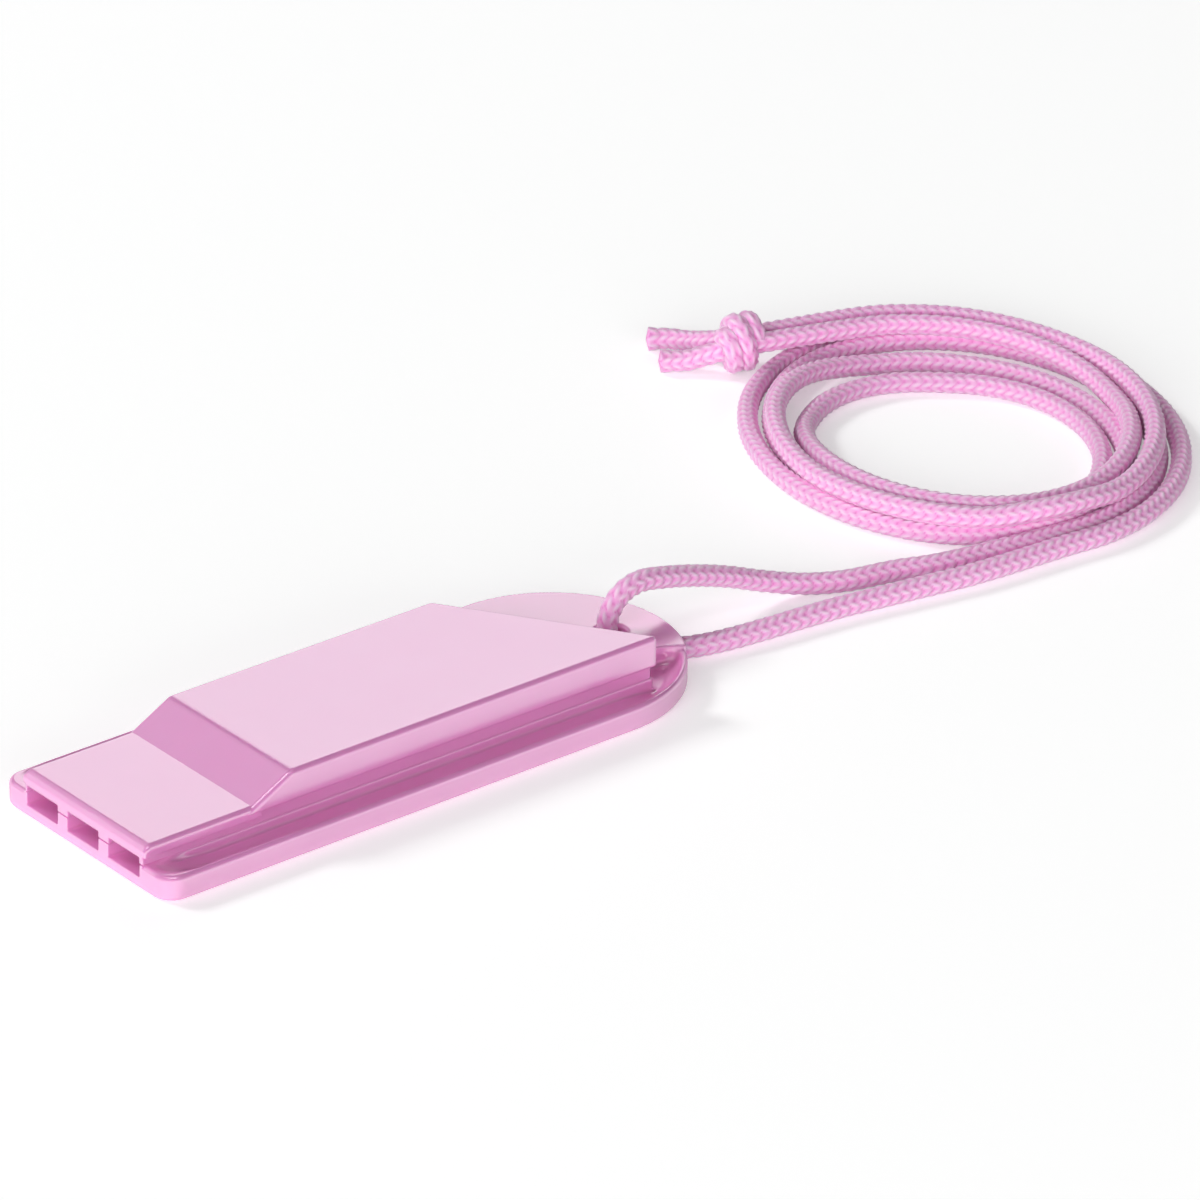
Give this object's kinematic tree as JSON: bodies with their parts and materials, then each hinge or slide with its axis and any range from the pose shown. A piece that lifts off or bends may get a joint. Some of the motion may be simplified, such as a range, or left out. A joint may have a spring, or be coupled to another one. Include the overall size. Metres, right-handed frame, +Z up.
{
  "type": "sports whistle",
  "caption": "Slim flat pealess whistle: flanged tray, stepped top with a slanting rear wall, open slots in the mouth and a doubled braided cord wound into a coil.",
  "frame": {"origin": "centre of the whistle's base, on the surface that it rests on", "axes": "+X from the mouth to the tongue, +Z up"},
  "size_m": [0.1415, 0.0611, 0.0077],
  "materials": {
    "pink_plastic": "smooth gloss moulding",
    "pink_cord": "round braid"
  },
  "bodies": {
    "root": {"lower_shell": "pink_plastic", "upper_shell": "pink_plastic", "cord_loop": "pink_cord", "cord_coil_outer": "pink_cord", "cord_coil_inner": "pink_cord", "cord_knot": "pink_cord", "cord_tail_long": "pink_cord", "cord_tail_short": "pink_cord"}
  },
  "joints": []
}
